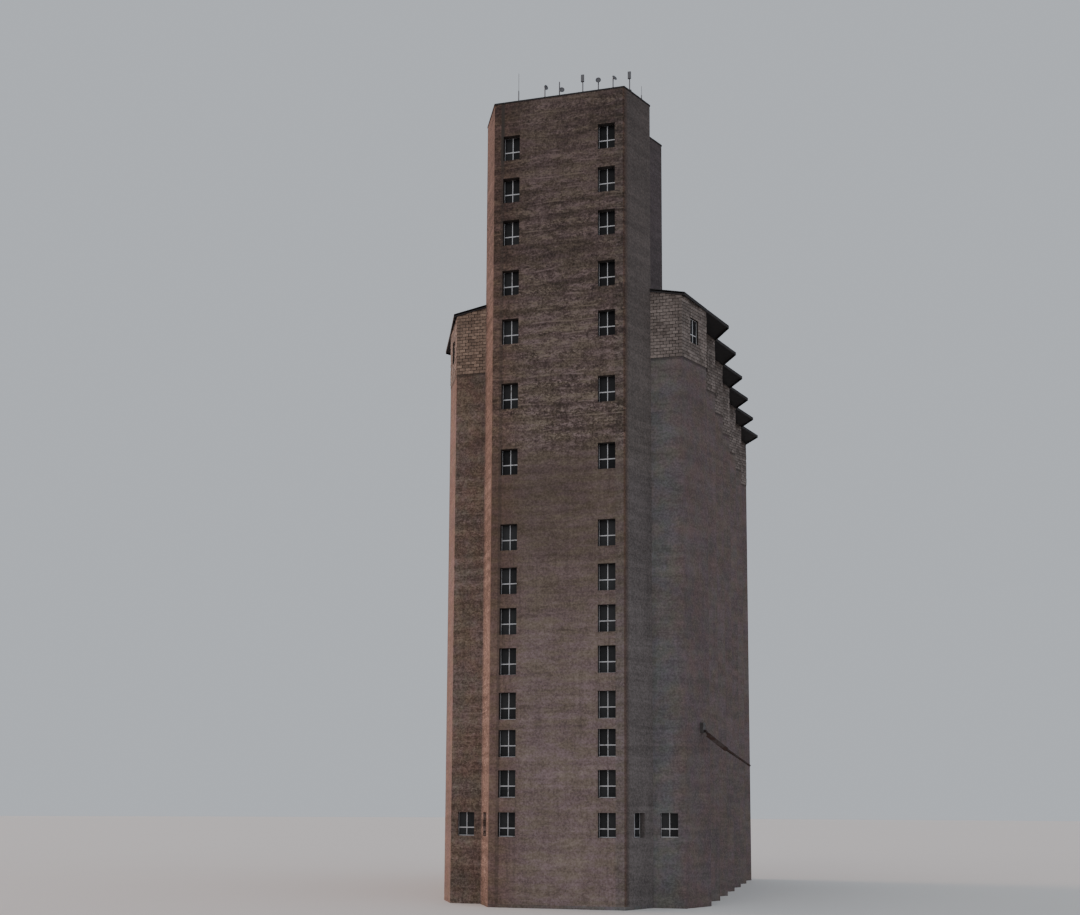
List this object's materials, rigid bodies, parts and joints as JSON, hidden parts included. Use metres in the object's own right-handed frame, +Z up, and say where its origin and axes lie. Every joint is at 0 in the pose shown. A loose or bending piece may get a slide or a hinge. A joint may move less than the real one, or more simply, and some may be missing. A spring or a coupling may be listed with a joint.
{
  "type": "half-scale concrete grain silo",
  "caption": "Tall concrete grain silo at half size: a windowed elevator tower in front of zig-zag storage cells, with a blockwork gallery under a shallow gable roof.",
  "frame": {"origin": "the middle of the ground slab's underside, at ground level", "axes": "+Z up, -Y towards the tower's front face, +X to the right when looking at that face"},
  "size_m": [10.2348, 18.215, 25.7703],
  "materials": {
    "tower_concrete": "weathered, matt",
    "cell_concrete": "weathered, matt",
    "blockwork": "matt blocks with dark joints",
    "slab_concrete": "matt",
    "roofing": "dark, weathered",
    "rusty_steel": "rusty",
    "galvanised_steel": "dull",
    "aerial_paint": "off-white",
    "window_frame": "pale paint, dull",
    "window_glass": "dark, dusty"
  },
  "bodies": {
    "root": {"cell_rear_wall": "cell_concrete", "cell_wall_left_1": "cell_concrete", "cell_wall_left_2": "cell_concrete", "cell_wall_left_3": "cell_concrete", "cell_wall_left_4": "cell_concrete", "cell_wall_left_5": "cell_concrete", "cell_wall_left_6": "cell_concrete", "cell_wall_left_7": "cell_concrete", "cell_wall_right_1": "cell_concrete", "cell_wall_right_2": "cell_concrete", "cell_wall_right_3": "cell_concrete", "cell_wall_right_4": "cell_concrete", "cell_wall_right_5": "cell_concrete", "cell_wall_right_6": "cell_concrete", "cell_wall_right_7": "cell_concrete", "dish_aerial_right": "aerial_paint", "dish_aerial_with_whip": "aerial_paint", "gallery_floor": "cell_concrete", "gallery_front_wall_left": "blockwork", "gallery_front_wall_right": "blockwork", "gallery_rear_wall": "blockwork", "gallery_roof_left": "roofing", "gallery_roof_right": "roofing", "gallery_wall_left": "blockwork", "gallery_wall_right": "blockwork", "ground_slab": "slab_concrete", "loading_spout": "rusty_steel", "outlet_box": "rusty_steel", "panel_aerial_centre": "aerial_paint", "panel_aerial_right": "aerial_paint", "small_dish_aerial": "aerial_paint", "tilted_dish_aerial": "aerial_paint", "tower_front_wall_lower": "tower_concrete", "tower_front_wall_middle": "tower_concrete", "tower_front_wall_upper": "tower_concrete", "tower_left_front_facet": "tower_concrete", "tower_left_side_wall": "tower_concrete", "tower_rear_wall_and_floors_lower": "tower_concrete", "tower_rear_wall_and_floors_middle": "tower_concrete", "tower_rear_wall_and_floors_upper": "tower_concrete", "tower_right_front_facet": "tower_concrete", "tower_right_side_wall": "tower_concrete", "tower_roof": "roofing", "whip_aerial_left": "galvanised_steel", "whip_aerial_right": "galvanised_steel", "wing_front_wall_left": "cell_concrete", "wing_front_wall_right": "cell_concrete"}
  },
  "joints": []
}
